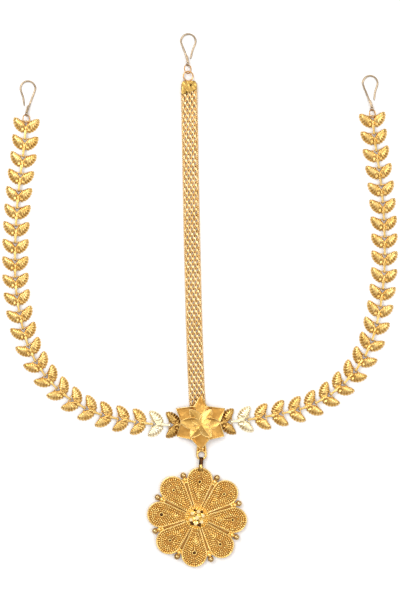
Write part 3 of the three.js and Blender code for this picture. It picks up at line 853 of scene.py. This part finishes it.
def build_motif():
    star, flower, rims = Parts(), Parts(), Parts()
    for k in range(len(STAR_TIPS)):
        sheet, edges = star_petal(k)
        star.extend(sheet)
        for edge in edges:
            rims.extend(tube(edge, STAR_RIM_WIRE, 8))
    for x, y, half_width in FLOWER_TIPS:
        sheet, edges = flower_petal(x, y, half_width)
        flower.extend(sheet)
        for edge in edges:
            rims.extend(tube(edge, FLOWER_RIM_WIRE, 8))
    piece("motif_star", star, STAR_GOLD, "motif")
    piece("motif_flower", flower, MOTIF_GOLD)
    piece("motif_rims", rims, RIM_GOLD)
    back = prism(circle(BACKING_RADIUS, 40)[:, :2], 0, BACKING_HIGH)
    for lay in LAYS.values():
        x, y = lay["lug"]
        inner = x * STAPLE_INNER_SHARE
        low, high = y - STAPLE_HALF, y + STAPLE_HALF
        corners = ((inner, low), (x, low), (x, high), (inner, high))
        staple = spline([(*corner, BAR_HEIGHT) for corner in corners], 8)
        back.extend(tube(staple, STAPLE_WIRE, 8))
    lx, ly, lz, radius = MOTIF_LOOP
    loop = ring(radius - MOTIF_LOOP_INSET, MOTIF_LOOP_WIRE, 0, 12, 40)
    loop.moved(np.eye(3), (lx, ly, lz))
    loop.extend(prism(np.array(LOOP_WEB) + (lx, 0), *LOOP_WEB_HEIGHTS))
    for turn in (-1, 1):
        arm = [(lx + turn * radius, ly + 0.2, lz)]
        arm += [(lx + turn * x, y, z) for x, y, z in LOOP_ARM]
        loop.extend(tube(spline(arm, 6), LOOP_ARM_WIRE, 10))
    piece("motif_back", back, RING_GOLD)
    piece("motif_loop", loop, LEAF_GOLD)


# Pendant


def petal_outline(inset, count=64):
    """The closed outline of a petal, set in by some distance, as points at even steps."""
    radius = PETAL_ROUND - inset
    root = PETAL_ROOT_AT + inset * 1.4
    half = max(PETAL_ROOT_HALF - inset * 0.75, 0.12)
    points = [(half, root)]
    for degrees in np.linspace(-20, 200, 33):
        a = math.radians(degrees)
        points.append((radius * math.cos(a), PETAL_ROUND_AT + radius * math.sin(a)))
    points.append((-half, root))
    points.append((half, root))
    line = np.array(points)
    run = np.concatenate([[0], np.cumsum(np.linalg.norm(np.diff(line, axis=0), axis=1))])
    at = np.linspace(0, run[-1], count, endpoint=False)
    return np.stack([np.interp(at, run, line[:, 0]), np.interp(at, run, line[:, 1])], 1), run[-1]


def beaded(inset, z, bead, rng):
    """One row of beads along a petal's outline."""
    _, length = petal_outline(inset)
    count = int(length / (bead * FIELD_BEAD_STEP))
    line, _ = petal_outline(inset, count)
    parts = Parts()
    for x, y in line:
        parts.extend(field_bead(x, y, z, bead, rng))
    return parts


def field_bead(x, y, z, bead, rng):
    """One flattened bead, a little larger or smaller and higher or lower than the next."""
    size = bead * rng.uniform(*FIELD_BEAD_SIZES)
    height = z + rng.uniform(-FIELD_BEAD_SHIFT, FIELD_BEAD_SHIFT)
    return ball(size, (x, y, height), 7, 5, FIELD_BEAD_SQUASH)


def field_height(inset):
    """Height of the beads, which rise a little towards the middle of a petal."""
    return PLATE_THICK + FIELD_LIFT + FIELD_SLOPE * inset


def petal_parts(eye_size, rng):
    """The rim, the beads and the eye of the petal that points up; the eye is a dark ball of painted
    shade standing in for the shade of its hole.
    """
    rims = Parts()
    line, _ = petal_outline(RIM_WIRE, 96)
    rims.extend(tube(np.c_[line, np.full(len(line), RIM_HIGH)], RIM_WIRE, 8, closed=True))
    fill = Parts()
    for inset in np.arange(2.3 * RIM_WIRE, FIELD_DEEPEST_INSET, FIELD_ROW):
        fill.extend(beaded(inset, field_height(inset), FIELD_BEAD, rng))
    for y in np.arange(PETAL_ROOT_AT + VEIN_FROM_ROOT, PETAL_ROUND_AT - VEIN_TO_ROUND, VEIN_STEP):
        half = PETAL_ROOT_HALF + 0.35 * (y - PETAL_ROOT_AT)
        fill.extend(field_bead(0, y, field_height(min(half, 4.2)), FIELD_BEAD, rng))
    middle = (0, PETAL_ROUND_AT - EYE_BACK, field_height(EYE_INSET) + EYE_UP)
    collar = ring(eye_size + EYE_COLLAR_OUT, EYE_COLLAR_WIRE, 0, 8, 24)
    fill.extend(collar.moved(np.eye(3), middle))
    # A dark ball of painted shade in place of the eye's hole.
    eye = ball(eye_size, middle, 12, 7, 0.5)
    return rims, fill, eye


def build_pendant():
    shift = (PENDANT_AT[0], PENDANT_AT[1], 0)
    turn = turn_z(PENDANT_TURN)
    rng = np.random.default_rng(11)
    all_rims, all_fill, all_painted_shade = Parts(), Parts(), Parts()
    all_granules, all_necks = Parts(), Parts()
    base = prism(circle(PETAL_ROUND_AT - DISC_INSET, 96)[:, :2], 0, PLATE_THICK / 2)
    all_fill.extend(prism(circle(BOSS_RADIUS - BOSS_SEAT_INSET, 48)[:, :2], 0, BOSS_SEAT))
    for k in range(BOSS_INNER_RING_BEADS):
        a = 2 * math.pi * k / BOSS_INNER_RING_BEADS
        x, y = BOSS_INNER_RING_RADIUS * math.cos(a), BOSS_INNER_RING_RADIUS * math.sin(a)
        all_fill.extend(field_bead(x, y, BOSS_SEAT, BOSS_INNER_RING_BEAD, rng))
    for k in range(PETALS):
        spin = turn_z(360 * k / PETALS)
        rims, fill, eye = petal_parts(EYES[k], rng)
        all_rims.extend(rims.moved(spin, (0, 0, 0)))
        all_painted_shade.extend(eye.moved(spin, (0, 0, 0)))
        all_fill.extend(fill.moved(spin, (0, 0, 0)))
        line, _ = petal_outline(PLATE_INSET)
        base.extend(prism(line, 0, PLATE_THICK).moved(spin, (0, 0, 0)))
        between = turn_z(360 * (k + 0.5) / PETALS)
        granule = ball(GRANULE_RADIUS, (0, GRANULE_AT, GRANULE_RADIUS), 20, 13)
        all_granules.extend(granule.moved(between, (0, 0, 0)))
        for back, size in NECK_BALLS:
            neck = ball(size, (0, GRANULE_AT - back, size + FLOOR_GAP), 14, 9)
            all_necks.extend(neck.moved(between, (0, 0, 0)))
    for k in range(BOSS_RING_BEADS):
        a = 2 * math.pi * k / BOSS_RING_BEADS
        radius = BOSS_RADIUS - BOSS_RING_INSET
        place = (radius * math.cos(a), radius * math.sin(a), BOSS_RING_HIGH)
        all_fill.extend(ball(BOSS_RING_BEAD, place, 8, 6))
    all_necks.extend(prism(BAIL_FOOT, FLOOR_GAP, BAIL_FOOT_HIGH))
    # Dark balls among the boss beads: painted dark reflections and painted shade.
    for degrees, size in BOSS_PITS:
        a = math.radians(degrees)
        x, y = BOSS_PITS_AT * math.cos(a), BOSS_PITS_AT * math.sin(a)
        place = (x, y, BOSS_SEAT + BOSS_PITS_UP)
        all_painted_shade.extend(ball(size, place, 12, 7, 0.6))
    # The base plate seen between the beads is painted darker: painted shade in the grooves.
    piece("pendant_base", base.moved(turn, shift), GROOVE_SHADE_GOLD, "pendant", smooth=False)
    piece("pendant_rims", all_rims.moved(turn, shift), RIM_GOLD)
    piece("pendant_filigree", all_fill.moved(turn, shift), FILIGREE_GOLD)
    piece("pendant_granules", all_granules.moved(turn, shift), GRANULE_GOLD)
    piece("pendant_necks", all_necks.moved(turn, shift), FILIGREE_GOLD)
    piece("pendant_boss", boss_parts().moved(turn, shift), BOSS_GOLD, smooth=False)
    piece("pendant_painted_shade", all_painted_shade.moved(turn, shift), PAINTED_SHADE_GOLD)
    # The bail takes the painted shade material: its dark colour stands for the shade on it.
    piece("pendant_bail", bail_parts().moved(turn, shift), PAINTED_SHADE_GOLD)


def cut_bead(radius, height, sides, centre):
    """A low bead with a flat top and two belts of sloping facets."""
    belts = ((radius * 0.9, 0.0), (radius, height * 0.4), (radius * 0.55, height))
    points = np.concatenate([circle(r, sides, z) for r, z in belts]) + np.asarray(centre)
    faces = grid_faces(len(belts), sides, wrap_columns=True)
    faces.append(tuple(range(sides - 1, -1, -1)))
    faces.append(tuple(range(2 * sides, 3 * sides)))
    return Parts().add(points, faces)


def boss_parts():
    """A ring of cut beads round a middle one, each bead with flat facets."""
    low = BOSS_SEAT - BOSS_BEADS_SINK
    parts = cut_bead(*BOSS_MIDDLE_BEAD, (0, 0, low))
    for k in range(BOSS_BEADS):
        a = 2 * math.pi * k / BOSS_BEADS + math.radians(BOSS_TURN)
        place = (BOSS_BEADS_AT * math.cos(a), BOSS_BEADS_AT * math.sin(a), low)
        parts.extend(cut_bead(*BOSS_OUTER_BEAD, place))
    return parts


def bail_parts():
    """A strip bent into a long loop, seen from above as a short bar."""
    def stadium(radius):
        out = []
        for degrees in np.linspace(-90, 90, 13):
            a = math.radians(degrees)
            out.append((BAIL_AT + radius * math.cos(a), BAIL_OUTER + radius * math.sin(a)))
        for degrees in np.linspace(90, 270, 13):
            a = math.radians(degrees)
            out.append((BAIL_END_AT + radius * math.cos(a), BAIL_OUTER + radius * math.sin(a)))
        return np.array(out)
    outer, inner = stadium(BAIL_OUTER), stadium(BAIL_INNER)
    n = len(outer)
    half = BAIL_WIDTH / 2
    loops = [(inner, -half), (inner, half), (outer, half), (outer, -half)]
    points = np.concatenate([np.c_[np.full(n, x), line] for line, x in loops])
    faces = []
    for row in range(4):
        for k in range(n):
            a, b = row * n + k, row * n + (k + 1) % n
            c, d = ((row + 1) % 4) * n + (k + 1) % n, ((row + 1) % 4) * n + k
            faces.append((a, d, c, b))
    return Parts().add(points, faces)


# Stage


def build_stage():
    half = FLOOR_HALF
    corners = [(-half, -half, 0), (half, -half, 0), (half, half, 0), (-half, half, 0)]
    mesh = bpy.data.meshes.new("floor")
    mesh.from_pydata(corners, [], [(0, 1, 2, 3)])
    floor = bpy.data.objects.new("floor", mesh)
    floor.location.z = -FLOOR_DROP
    bpy.context.scene.collection.objects.link(floor)
    material = bpy.data.materials.new("floor_white")
    material.use_nodes = True
    nodes, links = material.node_tree.nodes, material.node_tree.links
    shader = nodes["Principled BSDF"]
    shader.inputs["Roughness"].default_value = 0.9
    shader.inputs["Specular IOR Level"].default_value = 0.1
    noise = nodes.new("ShaderNodeTexNoise")
    noise.inputs["Scale"].default_value = 30
    tone = nodes.new("ShaderNodeValToRGB")
    for stop, colour in zip(tone.color_ramp.elements, FLOOR_TONES):
        stop.color = colour
    links.new(noise.outputs["Fac"], tone.inputs["Fac"])
    links.new(tone.outputs["Color"], shader.inputs["Base Color"])
    mesh.materials.append(material)

    world = bpy.data.worlds.new("studio")
    bpy.context.scene.world = world
    world.use_nodes = True
    sky, wires = world.node_tree.nodes, world.node_tree.links
    facing = sky.new("ShaderNodeTexCoord")
    split = sky.new("ShaderNodeSeparateXYZ")
    dome = sky.new("ShaderNodeValToRGB")
    wires.new(facing.outputs["Generated"], split.inputs["Vector"])
    wires.new(split.outputs["Z"], dome.inputs["Fac"])
    wires.new(dome.outputs["Color"], sky["Background"].inputs["Color"])
    for stop, (position, colour) in zip(dome.color_ramp.elements, DOME_STOPS):
        stop.position = position
        stop.color = colour
    sky["Background"].inputs["Strength"].default_value = DOME_STRENGTH

    centre_y = (MOTIF_PX[1] - PHOTO_HEIGHT_PX / 2) * PHOTO_MM_PER_PX * MM
    for name, place, extent, power in LAMPS:
        data = bpy.data.lights.new(name, "AREA")
        data.shape = "RECTANGLE"
        data.size, data.size_y = extent
        data.energy = power
        lamp = bpy.data.objects.new(name, data)
        lamp.location = (place[0], centre_y + place[1], place[2])
        aim = np.array([0, centre_y, 0]) - np.array(lamp.location)
        lamp.rotation_euler = Vector(aim).to_track_quat("-Z", "Y").to_euler()
        bpy.context.scene.collection.objects.link(lamp)

    camera = bpy.data.cameras.new("photo_camera")
    camera.lens = CAMERA_LENS
    camera.sensor_width = CAMERA_SENSOR
    eye = bpy.data.objects.new("photo_camera", camera)
    distance = PHOTO_HEIGHT_PX * PHOTO_MM_PER_PX * camera.lens / camera.sensor_width
    centre_x = (PHOTO_WIDTH_PX / 2 - MOTIF_PX[0]) * PHOTO_MM_PER_PX * MM
    eye.location = (centre_x, centre_y, (distance + PICTURE_PLANE_UP) * MM)
    bpy.context.scene.collection.objects.link(eye)
    bpy.context.scene.camera = eye
    bpy.context.scene.view_settings.view_transform = "Standard"


for side, shank, hook_heading in (("left", 1, 90), ("right", -1, 91)):
    build_end(side, build_chain(side), shank, hook_heading)
build_top()
build_strap()
build_cap()
build_motif()
build_pendant()
build_stage()
